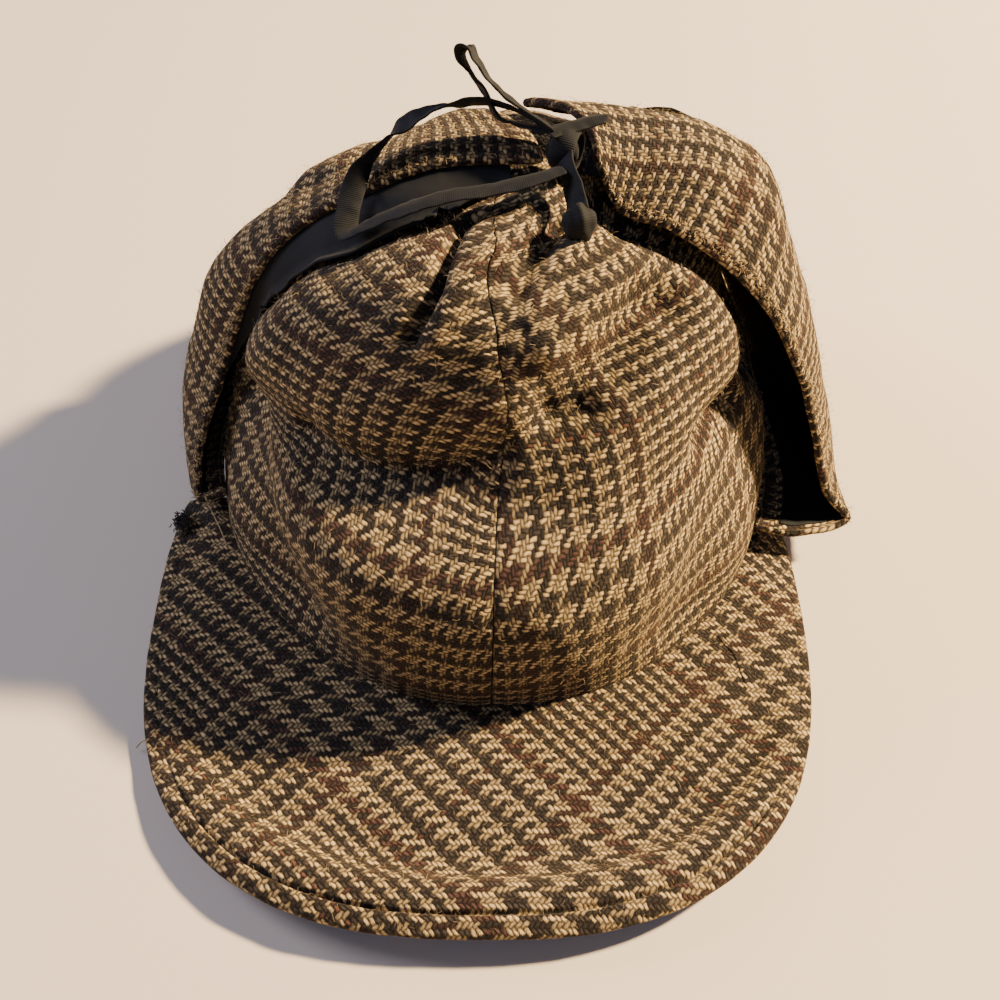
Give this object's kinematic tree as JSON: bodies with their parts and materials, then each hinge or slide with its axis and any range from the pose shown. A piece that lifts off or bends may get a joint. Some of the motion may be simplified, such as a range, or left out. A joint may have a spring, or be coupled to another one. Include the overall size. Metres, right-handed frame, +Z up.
{
  "type": "deerstalker hat",
  "caption": "Deerstalker hat in checked wool tweed, peaked front and back, its ear flaps folded up over the crown and tied together on top with a ribbon bow.",
  "frame": {"origin": "under the middle of the hat's own box, on the plane of the crown's rim that the hat stands on", "axes": "+Z up, -Y the way the front peak points, so +X is the wearer's left. In names, left and right are as seen from the front: left is -X"},
  "size_m": [0.214, 0.337, 0.1467],
  "materials": {
    "checked_wool_tweed": "matte woven wool in a brown, tan and black check",
    "black_lining_satin": "smooth, slight sheen",
    "black_ribbon": "finely ribbed, slight sheen"
  },
  "bodies": {
    "root": {"crown_gore_front_left": "checked_wool_tweed", "crown_gore_front_right": "checked_wool_tweed", "crown_gore_back_right": "checked_wool_tweed", "crown_gore_back_left": "checked_wool_tweed", "front_peak": "checked_wool_tweed", "rear_peak": "checked_wool_tweed", "ear_flap_right": "checked_wool_tweed", "ear_flap_left": "checked_wool_tweed", "flap_lining_right": "black_lining_satin", "flap_lining_left": "black_lining_satin", "ribbon_knot": "black_ribbon", "ribbon_loop_up": "black_ribbon", "ribbon_loop_left": "black_ribbon", "ribbon_tail_front": "black_ribbon", "ribbon_tail_right": "black_ribbon"}
  },
  "joints": []
}
